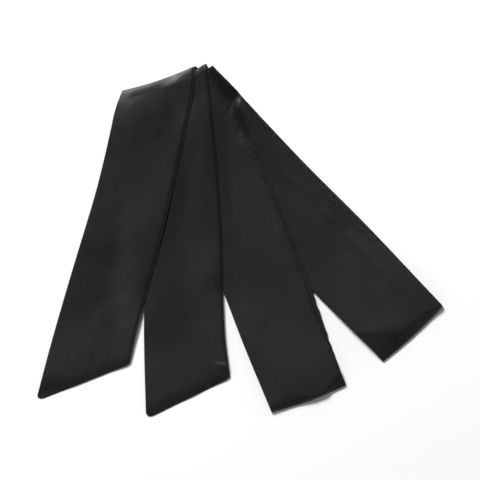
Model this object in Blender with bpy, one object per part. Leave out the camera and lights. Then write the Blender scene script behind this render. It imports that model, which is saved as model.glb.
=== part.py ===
"""Satin sash, folded to and fro and fanned out flat on a table.

The sash is a flat tube of satin, 80 mm wide and about 2 m long, cut on the slant at both ends.
It lies in six stretches that meet at the top of the fan.  The first stretch wraps the whole
pile with a soft roll, and the others turn in tight folds inside it or at the ends of limbs.

Frame: metres, +X to the right of the fan, +Y towards its folded top, +Z up from the table.
The origin is the middle of the footprint, on the table.  Tables hold millimetres, measured from
the footprint's near left corner, and each row of a table is one section across the strip.
"""

import bpy
import bmesh
import numpy as np
from collections import namedtuple
from dataclasses import dataclass

MM = 0.001

# Driving sizes, in millimetres
MIDDLE = (202.25, 176.0)       # middle of the fan's footprint, in the tables' frame
WALL = 1.2                     # two plies of satin lying on each other
GAP = 0.3                      # clearance between one stretch and the next
PITCH = WALL + GAP             # height that each layer adds to the pile
EDGE_ROUND = 0.8               # how far in from a soft edge the wall has its full thickness
SPLIT = 0.7                    # length of strip left out where one stretch hands over to the next
PRESSED_RUN = 1.0              # how far a pressed fold carries on before it hands over
COVER_MARGIN = 2.0             # an upper layer stays level this far past a lower one's edge
COVER_FALL = 34.0              # and then sinks over this distance
COVER_SOFTER = 16.0            # which grows by this for each layer in between
BEND_LIMIT = 0.9               # tightest radius of the wall's middle at a fold's tip
TUCK_SPREAD = 1.4              # reach of a fold's lower part for its height

# Fineness of the solids
ROW_STEP = 8.5                 # spacing of the sections along a stretch
COLUMNS = 14                   # points across one face of the strip
ROLL_TURNS = (20.0, 38.0, 54.0, 68.0, 80.0, 90.0, 110.0, 132.0, 155.0, 180.0)   # sections round a fold
CORNER_TURNS = (25.0, 50.0, 70.0, 90.0)   # angles of the sections round the corners of a slanted end
WELD = 0.001                   # points closer than this are one

# Finish
SATIN_COLOUR = (0.010, 0.010, 0.011)
SATIN_ROUGHNESS = 0.5

# One section across the strip, from its outer (left) edge to its seamed (right) edge
Section = namedtuple("Section", "left_x left_y right_x right_y")
# A long soft swell of the cloth: middle, direction of its length, half sizes and height
Swell = namedtuple("Swell", "x y angle half_length half_width height")


@dataclass(frozen=True)
class Fold:
    """A turn of the strip at the end of a stretch, with sizes in millimetres."""

    bulge: float               # reach of the cloth past the fold's line
    bow: float                 # how much further the middle of the fold reaches
    outer_height: float        # height of the upper layer at the fold, at the outer edge; 0 when pressed
    seam_height: float         # the same at the seamed edge
    lead: float                # how far along the stretch the cloth is lifted
    slip: float                # how far the strip moves along the line as it goes round
    tip: float                 # where the fold reaches furthest, as a share of its height


@dataclass(frozen=True)
class Cut:
    """A slanted, sewn end of the sash with turned corners, sizes in millimetres."""

    outer_corner: float        # how much of the end's line each corner rounds off
    seam_corner: float
    depth: float               # and how far up the strip the rounding starts


@dataclass(frozen=True)
class Stretch:
    """One straight run of the sash, from the top of the fan to its far end."""

    name: str
    sections: tuple
    top: Fold = None
    bottom: Fold = None
    cut: Cut = None
    start: float = 0.0         # where the solid begins, along the strip
    stop: float = 0.0          # and how far short of its last section it stops
    swells: tuple = ()


WRAP = Fold(bulge=10.0, bow=-2.2, outer_height=6.4, seam_height=9.0, lead=75.0, slip=12.0, tip=0.4)
PRESSED = Fold(bulge=0.75, bow=0.0, outer_height=0.0, seam_height=0.0, lead=1.0, slip=0.0, tip=0.5)
LIMB_3_END = Fold(bulge=14.0, bow=1.2, outer_height=4.6, seam_height=5.8, lead=110.0, slip=0.0, tip=0.2)
LIMB_4_END = Fold(bulge=14.0, bow=1.4, outer_height=5.8, seam_height=5.4, lead=110.0, slip=0.0, tip=0.2)


def slid(section, distance):
    """Return a section moved along its own line."""
    ends = np.array(section).reshape(2, 2)
    step = (ends[1] - ends[0]) / np.linalg.norm(ends[1] - ends[0]) * distance
    return Section(*(ends + step).ravel())


# Sections that two stretches share, where the strip turns from one to the other
TOP_OF_FAN = Section(79.4, 312.6, 157.2, 339.0)
TURN_3_TO_TAIL = Section(98.0, 308.0, 168.6, 351.4)
TURN_3_TO_4 = Section(111.0, 300.0, 175.0, 349.8)
END_OF_LIMB_3 = Section(229.2, 14.3, 302.8, 44.4)
END_OF_LIMB_4 = Section(335.1, 65.0, 395.4, 120.2)

# The stretches from the top of the pile down
STRETCHES = (
    Stretch(
        name="s1_upper_tail",
        top=WRAP,
        cut=Cut(outer_corner=9.0, seam_corner=3.0, depth=5.0),
        sections=(
            TOP_OF_FAN,
            Section(76.3, 302.0, 155.0, 319.0),
            Section(72.7, 285.5, 150.4, 297.0),
            Section(65.8, 255.5, 143.2, 263.0),
            Section(58.2, 225.5, 134.5, 224.0),
            Section(46.4, 185.5, 123.0, 175.5),
            Section(37.2, 155.5, 113.9, 140.0),
            Section(25.3, 115.5, 103.5, 102.0),
            Section(13.9, 75.5, 96.9, 75.5),
            Section(-2.3, 14.5, 91.8, 51.5),
        ),
        swells=(Swell(x=50.0, y=50.0, angle=21.0, half_length=62.0, half_width=17.0, height=1.4),),
    ),
    Stretch(
        name="s6_lower_tail",
        top=PRESSED,
        cut=Cut(outer_corner=8.0, seam_corner=6.0, depth=5.0),
        sections=(
            TURN_3_TO_TAIL,
            Section(97.8, 288.0, 173.6, 308.0),
            Section(99.5, 256.0, 178.3, 263.0),
            Section(103.5, 193.0, 183.0, 193.0),
            Section(106.0, 107.0, 185.2, 111.0),
            Section(106.0, 75.5, 187.3, 75.5),
            Section(106.6, 46.0, 190.0, 54.0),
            Section(108.1, -3.3, 192.2, 37.7),
        ),
        swells=(Swell(x=151.0, y=34.0, angle=26.0, half_length=56.0, half_width=17.0, height=1.4),),
    ),
    Stretch(
        name="s5_limb_3_over",
        bottom=LIMB_3_END,
        start=PRESSED_RUN + SPLIT,
        sections=(
            TURN_3_TO_TAIL,
            Section(115.0, 278.5, 187.0, 317.0),
            Section(133.5, 246.0, 205.0, 281.0),
            Section(150.5, 208.5, 223.0, 244.5),
            Section(169.5, 165.0, 244.5, 195.0),
            Section(187.3, 119.0, 262.0, 147.5),
            Section(207.9, 65.5, 282.8, 88.5),
            END_OF_LIMB_3,
        ),
        swells=(
            Swell(x=304.5, y=32.0, angle=52.0, half_length=20.0, half_width=12.0, height=-2.2),
            Swell(x=255.0, y=17.0, angle=28.0, half_length=24.0, half_width=16.0, height=-1.0),
        ),
    ),
    Stretch(
        name="s4_limb_3_under",
        top=PRESSED,
        stop=SPLIT,
        sections=(
            TURN_3_TO_4,
            Section(122.0, 274.0, 188.0, 321.5),
            Section(140.0, 242.0, 212.5, 272.5),
            Section(157.0, 204.0, 231.0, 235.0),
            Section(175.0, 160.0, 249.5, 189.5),
            Section(191.5, 115.5, 267.5, 144.5),
            Section(210.5, 63.0, 286.5, 89.0),
            END_OF_LIMB_3,
        ),
    ),
    Stretch(
        name="s3_limb_4_over",
        bottom=LIMB_4_END,
        start=PRESSED_RUN + SPLIT,
        sections=(
            TURN_3_TO_4,
            Section(146.5, 264.0, 201.8, 322.1),
            Section(169.0, 239.0, 225.0, 294.3),
            Section(205.5, 198.5, 261.0, 255.3),
            Section(274.5, 125.2, 330.0, 186.0),
            END_OF_LIMB_4,
        ),
        swells=(
            Swell(x=193.0, y=332.5, angle=-44.0, half_length=15.0, half_width=7.0, height=2.6),
            Swell(x=346.0, y=67.0, angle=42.5, half_length=34.0, half_width=17.0, height=-2.0),
        ),
    ),
    Stretch(
        name="s2_limb_4_under",
        start=SPLIT,
        stop=SPLIT,
        sections=(
            slid(TOP_OF_FAN, WRAP.slip),
            Section(140.0, 266.0, 202.0, 321.0),
            Section(169.0, 241.0, 226.2, 295.5),
            Section(207.0, 199.5, 263.0, 256.6),
            Section(276.5, 126.0, 331.6, 187.7),
            END_OF_LIMB_4,
        ),
    ),
)


def plan(stretch):
    """Return the places of a stretch's sections along it, and their edge points."""
    rows = np.array(stretch.sections)
    middles = (rows[:, :2] + rows[:, 2:]) / 2
    steps = np.linalg.norm(np.diff(middles, axis=0), axis=1)
    return np.concatenate([[0.0], np.cumsum(steps)]), rows


def smooth_path(knots, values, at):
    """Read the smooth curve that passes through values at knots."""
    slopes = np.gradient(values, knots, axis=0)
    index = np.clip(np.searchsorted(knots, at, side="right") - 1, 0, len(knots) - 2)
    span = (knots[index + 1] - knots[index])[:, None]
    part = (at[:, None] - knots[index][:, None]) / span
    square, cube = part ** 2, part ** 3
    return ((2 * cube - 3 * square + 1) * values[index]
            + (cube - 2 * square + part) * span * slopes[index]
            + (3 * square - 2 * cube) * values[index + 1]
            + (cube - square) * span * slopes[index + 1])


def outline(stretch):
    """Return the closed plan outline of a stretch."""
    knots, rows = plan(stretch)
    edges = smooth_path(knots, rows, np.linspace(0.0, knots[-1], 60))
    return np.concatenate([edges[:, :2], edges[::-1, 2:]])


def distance_outside(points, polygon):
    """Return how far each point lies outside a polygon, and zero inside it."""
    starts, ends = polygon, np.roll(polygon, -1, axis=0)
    x, y = points[:, :1], points[:, 1:2]
    side = ends - starts
    share = ((x - starts[:, 0]) * side[:, 0] + (y - starts[:, 1]) * side[:, 1]) / (side ** 2).sum(axis=1)
    share = np.clip(share, 0.0, 1.0)
    away = np.hypot(x - starts[:, 0] - share * side[:, 0], y - starts[:, 1] - share * side[:, 1]).min(axis=1)
    rising = (starts[:, 1] > y) != (ends[:, 1] > y)
    height = np.where(np.abs(side[:, 1]) < 1e-12, 1e-12, side[:, 1])
    crossing = starts[:, 0] + (y - starts[:, 1]) * side[:, 0] / height
    inside = np.count_nonzero(rising & (x < crossing), axis=1) % 2 == 1
    return np.where(inside, 0.0, away)


def ease(value):
    """Return a smooth step from 0 to 1."""
    value = np.clip(value, 0.0, 1.0)
    return value * value * (3 - 2 * value)


def rest_height(level, points):
    """Return the height of the middle of a layer that lies on the layers below it."""
    height = np.full(len(points), WALL / 2)
    for between, lower in enumerate(STRETCHES[level + 1:]):
        away = distance_outside(points, outline(lower))
        height += PITCH * ease(1 - (away - COVER_MARGIN) / (COVER_FALL + COVER_SOFTER * between))
    return height


def lift(height, distance, fold, across):
    """Raise a layer towards the height it has at its fold."""
    target = fold.outer_height + (fold.seam_height - fold.outer_height) * across
    return height + np.maximum(target - height, 0.0) * ease(1 - distance / fold.lead)


def swell_height(swell, points):
    """Return the height of one soft swell at each point."""
    turn = np.radians(swell.angle)
    along = (points[:, 0] - swell.x) * np.cos(turn) + (points[:, 1] - swell.y) * np.sin(turn)
    over = (points[:, 1] - swell.y) * np.cos(turn) - (points[:, 0] - swell.x) * np.sin(turn)
    radius = (along / swell.half_length) ** 2 + (over / swell.half_width) ** 2
    return swell.height * np.clip(1 - radius, 0.0, None) ** 2


def layer(level, places, across):
    """Return the middle of a stretch's wall at places along it and shares across it.

    across holds one row of shares for each place, from 0 at the outer edge to 1 at the seam.
    """
    stretch = STRETCHES[level]
    knots, rows = plan(stretch)
    edges = smooth_path(knots, rows, places)
    flat = edges[:, None, :2] + across[:, :, None] * (edges[:, None, 2:] - edges[:, None, :2])
    points = flat.reshape(-1, 2)
    shares = across.reshape(-1)
    along = np.repeat(places, across.shape[1])
    height = rest_height(level, points)
    for swell in stretch.swells:
        height += swell_height(swell, points)
    if stretch.top:
        height = lift(height, along, stretch.top, shares)
    if stretch.bottom:
        height = lift(height, knots[-1] - along, stretch.bottom, shares)
    return np.column_stack([points, height]).reshape(across.shape + (3,))


def roll(line, shares, level, fold, outward):
    """Return the sections round a fold, from the upper layer's last one to the layer below."""
    along = line[-1, :2] - line[0, :2]
    along = along / np.linalg.norm(along)
    out = np.array([-along[1], along[0]]) * outward
    if fold.slip:
        low = np.full(len(line), WALL / 2)
    elif fold.outer_height:
        low = rest_height(level + 1, line[:, :2])
    else:
        low = line[:, 2] - PITCH
    under = np.maximum((line[:, 2] - low) * fold.tip, PITCH / 2)
    over = line[:, 2] - low - under
    reach = fold.bulge + fold.bow * 4 * shares * (1 - shares)
    reach = np.minimum(reach, np.maximum(over, over ** 2 / BEND_LIMIT))
    tuck = np.minimum(reach, np.clip(under ** 2 / BEND_LIMIT, under, TUCK_SPREAD * under))
    rows = []
    for turn in np.radians(ROLL_TURNS):
        upper = turn <= np.pi / 2
        far = reach * np.sin(turn) if upper else reach - tuck + tuck * np.sin(turn)
        height = low + under + np.where(upper, over, under) * np.cos(turn)
        spot = line[:, :2] + out * far[:, None] + along * fold.slip * turn / np.pi
        rows.append(np.column_stack([spot, height]))
    run = 0.0 if fold.outer_height else PRESSED_RUN
    rows.append(np.column_stack([line[:, :2] + along * fold.slip - out * run, low]))
    return np.array(rows)


def columns(width):
    """Return the shares across a strip: close together at the soft edges, even between."""
    edge = EDGE_ROUND / width
    return np.concatenate([[0.0], np.linspace(edge, 1 - edge, COLUMNS - 2), [1.0]])


def stretch_surface(level):
    """Return the middle of a stretch's wall as rows of points."""
    stretch = STRETCHES[level]
    knots, rows = plan(stretch)
    length = knots[-1]
    turns = np.radians(CORNER_TURNS) if stretch.cut else np.array([])
    last = length - stretch.cut.depth if stretch.cut else length - stretch.stop
    places = np.linspace(stretch.start, last, int(round((last - stretch.start) / ROW_STEP)) + 1)
    inset = np.zeros((len(places), 2))
    if stretch.cut:
        corners = np.array([stretch.cut.outer_corner, stretch.cut.seam_corner])
        places = np.concatenate([places, last + stretch.cut.depth * np.sin(turns)])
        inset = np.concatenate([inset, (1 - np.cos(turns))[:, None] * corners])
    width = np.linalg.norm(rows[:, 2:] - rows[:, :2], axis=1).mean()
    first, taken = inset[:, :1] / width, inset.sum(axis=1, keepdims=True) / width
    across = first + columns(width) * (1 - taken)
    surface = layer(level, places, across)
    if stretch.top:
        turned = roll(surface[0], across[0], level, stretch.top, 1.0)
        surface = np.concatenate([turned[::-1], surface])
    if stretch.bottom:
        turned = roll(surface[-1], across[-1], level, stretch.bottom, -1.0)
        surface = np.concatenate([surface, turned])
    return surface


def wall_sides(surface):
    """Return the two faces of the wall around a surface, meeting along all four edges."""
    slopes = []
    for axis in (0, 1):
        steps = np.linalg.norm(np.diff(surface, axis=axis), axis=2).mean(axis=1 - axis)
        travelled = np.concatenate([[0.0], np.cumsum(steps)])
        slopes.append(np.gradient(surface, travelled, axis=axis))
    normal = np.cross(*slopes)
    normal /= np.linalg.norm(normal, axis=2, keepdims=True)
    half = np.full(surface.shape[:2], WALL / 2)
    half[:, 0] = 0.0
    half[:, -1] = 0.0
    offset = normal * half[:, :, None]
    closed = np.concatenate([surface[:1], surface, surface[-1:]])
    offset = np.concatenate([np.zeros_like(offset[:1]), offset, np.zeros_like(offset[:1])])
    return closed + offset, closed - offset


def material(name, colour, roughness):
    """Return a plain satin material."""
    made = bpy.data.materials.new(name)
    made.use_nodes = True
    shader = made.node_tree.nodes["Principled BSDF"]
    shader.inputs["Base Color"].default_value = (*colour, 1.0)
    shader.inputs["Roughness"].default_value = roughness
    shader.inputs["Metallic"].default_value = 0.0
    return made


def make_stretch(level):
    """Build one stretch as a closed wall, by wrapping a grid round its two faces."""
    stretch = STRETCHES[level]
    upper, lower = wall_sides(stretch_surface(level))
    ring = np.concatenate([upper, lower[:, -2::-1]], axis=1)
    ring[:, :, :2] -= MIDDLE
    ring *= MM
    rows, points = ring.shape[:2]
    shape = bmesh.new()
    bmesh.ops.create_grid(shape, x_segments=points - 1, y_segments=rows - 1, size=0.5)
    for vertex in shape.verts:
        point = int(round((vertex.co.x + 0.5) * (points - 1)))
        row = int(round((vertex.co.y + 0.5) * (rows - 1)))
        vertex.co = ring[row, point]
    bmesh.ops.remove_doubles(shape, verts=shape.verts, dist=WELD * MM)
    bmesh.ops.triangulate(shape, faces=shape.faces)
    bmesh.ops.recalc_face_normals(shape, faces=shape.faces)
    mesh = bpy.data.meshes.new(stretch.name)
    shape.to_mesh(mesh)
    shape.free()
    mesh.shade_smooth()
    body = bpy.data.objects.new(stretch.name, mesh)
    body.data.materials.append(material(stretch.name + "_satin", SATIN_COLOUR, SATIN_ROUGHNESS))
    bpy.context.scene.collection.objects.link(body)
    return body


def main():
    """Clear the scene and lay the sash out, stretch by stretch."""
    for old in list(bpy.data.objects):
        bpy.data.objects.remove(old, do_unlink=True)
    for level in range(len(STRETCHES)):
        make_stretch(level)


main()
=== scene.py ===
"""Satin sash, folded to and fro and fanned out flat: its cloth, its seam and its finish.

The sash is a flat tube of black satin, 80 mm wide and about 2 m long, sewn shut on the slant at
both ends.  It lies in six stretches, and each is a thin double wall of cloth that runs on into the
next one round a fold.  The seam lies along the right edge of every stretch.

Sizes are in millimetres, in the tables' frame: X to the right and Y away from the near left corner
of the fan's footprint, Z up from the table.  Meshes are in metres about the middle of the footprint.
"""

import logging
import math
from dataclasses import dataclass
from enum import Enum
from typing import NamedTuple, Optional

import bmesh
import bpy
import numpy as np
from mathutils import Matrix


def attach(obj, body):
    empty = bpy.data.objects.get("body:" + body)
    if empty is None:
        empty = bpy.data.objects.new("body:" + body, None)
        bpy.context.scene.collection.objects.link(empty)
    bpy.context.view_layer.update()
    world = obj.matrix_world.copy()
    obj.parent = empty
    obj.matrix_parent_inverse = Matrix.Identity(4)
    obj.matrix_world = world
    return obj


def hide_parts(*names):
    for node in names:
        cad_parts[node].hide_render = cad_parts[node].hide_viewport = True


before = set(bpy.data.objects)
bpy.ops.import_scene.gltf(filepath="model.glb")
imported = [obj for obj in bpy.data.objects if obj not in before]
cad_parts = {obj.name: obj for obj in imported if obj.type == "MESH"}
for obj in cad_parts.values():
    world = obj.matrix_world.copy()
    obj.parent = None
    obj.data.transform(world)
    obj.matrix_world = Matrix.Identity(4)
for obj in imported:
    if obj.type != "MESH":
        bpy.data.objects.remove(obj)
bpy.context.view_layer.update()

LOG = logging.getLogger("satin_sash")
BODY = "root"
CLOTH_MAP = "cloth"            # UV map in metres: round the tube, then along it
MAP_STEP = 0.4                 # each stretch's map starts this far after the last

MM = 0.001
MIDDLE = (202.25, 176.0)       # middle of the footprint, in the tables' frame
STRIP = 80.0                   # width of the flattened tube
WALL = 1.2                     # height of the two plies with the air between them
GAP = 0.3                      # clearance between one stretch and the next
PITCH = WALL + GAP             # height that each layer adds to the pile
PLY = 0.24                     # thickness of the satin itself
EDGE_REACH = 0.8               # how far in from a soft edge the tube is rounded
COVER_MARGIN = 2.0             # an upper layer stays level this far past a lower one's edge
COVER_FALL = 34.0              # and then sinks over this distance
COVER_SOFTER = 16.0            # which grows by this for each layer in between
BEND_LIMIT = 0.9               # tightest radius at a fold's tip
ROUND_SHARE = 0.8              # share of a fold's height that bends round it
TUCK_SPREAD = 1.4              # reach of a fold's lower part for its height
PRESSED_RUN = 1.0              # how far a pressed fold carries on before it hands over
RAGGED_FADE = 30.0             # length over which a seamed edge starts to stray from its smooth line
WELD = 0.002                   # points closer than this are one
TINY = 1e-12                   # stands in for a rise of zero
GRID_HALF = 0.5                # half the side of the flat grid that is wrapped into a tube
OUTLINE_POINTS = 60            # points along each long edge of a plan outline
QUARTER_TURN = 0.25            # of a full turn: from round the tube to along it
COLOUR_A, COLOUR_B, COLOUR_OUT = 6, 7, 2    # a Mix node's colour sockets


class Fineness(Enum):
    """Spacing of a stretch's mesh, by how much of it shows."""

    SHOWN = 1.5
    HIDDEN = 2.2


class Hold(Enum):
    """How a sheet of cloth is held."""

    FOLDED = "folded"


class Section(NamedTuple):
    """One section across the strip, from its outer (left) edge to its seamed (right) edge."""

    left_x: float
    left_y: float
    right_x: float
    right_y: float


class Swell(NamedTuple):
    """A long soft swell of the cloth, or a hollow where its height is below 0."""

    x: float
    y: float
    angle: float               # of its length, in degrees
    half_length: float
    half_width: float
    height: float


class Ridge(NamedTuple):
    """A soft ridge along a line over the cloth."""

    route: tuple
    left: float                # how far it spreads to the left of its route
    right: float               # and to the right
    height: float
    fade: float                # length over which it rises at its start
    dies: float = 0.0          # and dies at its end; the same when 0
    crest: float = 2.0         # how round its top is, from 1 for a sharp one to 2


class Facet(NamedTuple):
    """A part of the cloth that slopes down on the right of a line."""

    route: tuple
    slope: float
    depth: float               # what the drop tends to
    soft: float                # how softly the cloth bends at the line


class Wave(NamedTuple):
    """One of the waves that add up to a line that was made by hand."""

    pace: float                # distance along the stretch for each radian
    shift: float               # in radians
    share: float


class Puff(NamedTuple):
    """How the cloth goes round a fold at one place across the strip."""

    across: float              # that place, as a share of the width from the outer edge
    late: float                # how late the cloth starts to turn
    steep: float               # how steeply it ends
    tip: float                 # where the fold reaches furthest, as a share of its height
    level: float               # how much of its reach stays level


# How unevenly a seam is pressed, and how a seamed edge strays
PRESS_WAVES = (Wave(2.9, 0.0, 1.0), Wave(1.7, 2.0, 0.8), Wave(8.3, 4.0, 1.0))
PRESS_SPAN = 5.6               # from the lowest to the highest sum of those waves
EDGE_WAVES = (Wave(1.9, 0.0, 1.0), Wave(3.1, 1.0, 1.0), Wave(7.3, 3.0, 1.0))
EDGE_PEAK = 2.0                # sum of those waves where the edge strays by its full measure


@dataclass(frozen=True)
class Fold:
    """A turn of the strip at the end of a stretch."""

    bulge: float               # reach of the cloth past the fold's line
    bow: float                 # how much further the middle of the fold reaches
    outer_height: float        # height of the upper layer at the fold, at the outer edge; 0 when pressed
    seam_height: float         # the same at the seamed edge
    lead: float                # how far along the stretch the cloth is lifted
    slip: float                # how far the strip moves along the line as it goes round
    puff: tuple = (Puff(0.0, 2.0, 0.5, 0.5, 0.0), Puff(1.0, 2.0, 0.5, 0.5, 0.0))
    lean: tuple = (0.5, 0.5)   # share of the slip that is made at the tip, at the outer and the seamed edge
    crown: float = 0.0         # slope that the cloth already has at the fold's line

    def height(self, across: np.ndarray) -> np.ndarray:
        """Return the height of the upper layer at the fold, at shares across the strip."""
        return self.outer_height + (self.seam_height - self.outer_height) * across

    def curves(self, across: np.ndarray) -> list:
        """Return the puff's late, steep, tip and level curves at shares across the strip."""
        shares, *values = np.transpose(self.puff)
        return [np.interp(across, shares, row) for row in values]


@dataclass(frozen=True)
class Cut:
    """A slanted, sewn end of the sash with turned corners."""

    outer_corner: float        # how much of the end's line each corner rounds off
    seam_corner: float
    depth: float               # and how far up the strip the rounding starts


@dataclass(frozen=True)
class Press:
    """How flat the tube is pressed along its seam and at its sewn end."""

    seam_flat: float = 0.0     # a level rim beside the seam
    seam_reach: float = 0.0
    seam_share: float = 0.0    # how much of the height the iron took
    hem_reach: float = 0.0
    hem_share: float = 0.0
    uneven: float = 0.0        # how much the seam's share changes on the way

    def left_over(self, from_seam: np.ndarray, from_hem: np.ndarray, along: np.ndarray) -> np.ndarray:
        """Work out the share of the height that is left.

        Args:
            from_seam: Each column's distance from the seam.
            from_hem: Each row's distance from the sewn end.
            along: Each row's place along the stretch.

        Returns:
            A row of shares for each place along the stretch.
        """
        left = np.ones((len(along), len(from_seam)))
        if self.seam_share:
            share = self.seam_share * (1 - self.uneven * (0.5 + wavy(along, PRESS_WAVES) / PRESS_SPAN))
            rise = ease((from_seam - self.seam_flat) / (self.seam_reach - self.seam_flat))
            left -= share[:, None] * (1 - rise)
        if self.hem_share:
            left *= 1 - self.hem_share * (1 - ease(from_hem / self.hem_reach))[:, None]
        return left


@dataclass(frozen=True)
class Stretch:
    """One straight run of the sash, from the top of the fan to its far end."""

    node: str                  # name of its solid
    piece: str                 # and of its cloth
    sections: tuple
    top: Optional[Fold] = None         # folds that it carries itself, at its ends
    bottom: Optional[Fold] = None
    cut: Optional[Cut] = None
    start: float = 0.0         # where its cloth starts, after a pressed fold that another stretch carries
    swells: tuple = ()
    ridges: tuple = ()
    facets: tuple = ()
    press: Press = Press()
    ragged: float = 0.0        # how far the seamed edge strays from its smooth line
    fineness: Fineness = Fineness.SHOWN

    def plan(self) -> tuple[np.ndarray, np.ndarray]:
        """Work out where the sections lie along the stretch.

        Returns:
            The sections' places along the stretch, and their edge points as rows.
        """
        rows = np.array(self.sections)
        middles = (rows[:, :2] + rows[:, 2:]) / 2
        steps = np.linalg.norm(np.diff(middles, axis=0), axis=1)
        return np.concatenate([[0.0], np.cumsum(steps)]), rows

    def outline(self) -> np.ndarray:
        """Draw the closed plan outline of the stretch.

        Returns:
            Its points, one in each row.
        """
        knots, rows = self.plan()
        edges = smooth_path(knots, rows, np.linspace(0.0, knots[-1], OUTLINE_POINTS))
        return np.concatenate([edges[:, :2], edges[::-1, 2:]])


WRAP = Fold(
    bulge=10.0, bow=-2.2, outer_height=6.4, seam_height=9.0, lead=75.0, slip=12.0, lean=(0.72, 0.3),
    puff=(Puff(0.0, 3.5, 1.0, 0.78, 0.0), Puff(0.25, 3.5, 1.0, 0.77, 0.0),
          Puff(0.45, 3.0, 1.0, 0.76, 0.0), Puff(0.57, 1.8, 1.0, 0.76, 0.0),
          Puff(0.68, 1.4, 1.0, 0.72, 0.0), Puff(0.75, 1.8, 1.0, 0.73, 0.0),
          Puff(0.81, 3.4, 1.0, 0.80, 0.0), Puff(0.87, 4.0, 1.0, 0.83, 0.0),
          Puff(1.0, 5.0, 1.0, 0.86, 0.0)),
    crown=0.078,
)
PRESSED = Fold(bulge=0.75, bow=0.0, outer_height=0.0, seam_height=0.0, lead=1.0, slip=0.0)
LIMB_3_END = Fold(
    bulge=14.0, bow=1.2, outer_height=4.6, seam_height=5.8, lead=110.0, slip=0.0,
    puff=(Puff(0.0, 2.0, 0.55, 0.2, 0.4), Puff(0.17, 1.7, 0.6, 0.2, 0.2),
          Puff(0.3, 1.5, 0.7, 0.2, 0.0), Puff(0.42, 2.2, 0.5, 0.2, 0.3),
          Puff(0.55, 2.5, 0.5, 0.2, 0.75), Puff(0.72, 1.6, 0.5, 0.2, 0.86),
          Puff(0.8, 1.15, 0.8, 0.2, 0.55), Puff(1.0, 1.1, 0.9, 0.2, 0.0)),
)
LIMB_4_END = Fold(
    bulge=14.0, bow=1.4, outer_height=5.8, seam_height=5.4, lead=110.0, slip=0.0,
    puff=(Puff(0.0, 1.2, 0.8, 0.2, 0.0), Puff(0.28, 1.1, 0.8, 0.2, 0.0),
          Puff(0.41, 1.1, 0.8, 0.2, 0.22), Puff(0.52, 1.15, 0.7, 0.2, 0.28),
          Puff(0.7, 1.3, 0.7, 0.2, 0.44), Puff(0.78, 1.2, 0.7, 0.2, 0.36),
          Puff(0.9, 1.6, 0.6, 0.2, 0.65), Puff(1.0, 1.6, 0.5, 0.2, 0.8)),
)


def slid(section: Section, distance: float) -> Section:
    """Move a section along its own line.

    Args:
        section: The section.
        distance: How far it moves towards its seamed edge.

    Returns:
        The moved section.
    """
    ends = np.array(section).reshape(2, 2)
    step = (ends[1] - ends[0]) / np.linalg.norm(ends[1] - ends[0]) * distance
    return Section(*(ends + step).ravel())


# Sections that two stretches share, where the strip turns from one to the other
TOP_OF_FAN = Section(79.4, 312.6, 157.2, 339.0)
TURN_3_TO_TAIL = Section(98.0, 308.0, 168.6, 351.4)
TURN_3_TO_4 = Section(111.0, 300.0, 175.0, 349.8)
END_OF_LIMB_3 = Section(229.2, 14.3, 302.8, 44.4)
END_OF_LIMB_4 = Section(335.1, 65.0, 395.4, 120.2)

# Where the second tail rises, just under the first tail's seam
UNDER_FIRST_SEAM = ((147.0, 318.0), (142.4, 297.0), (135.2, 263.0), (126.5, 224.0), (115.0, 176.0),
                    (109.0, 150.0))

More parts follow.
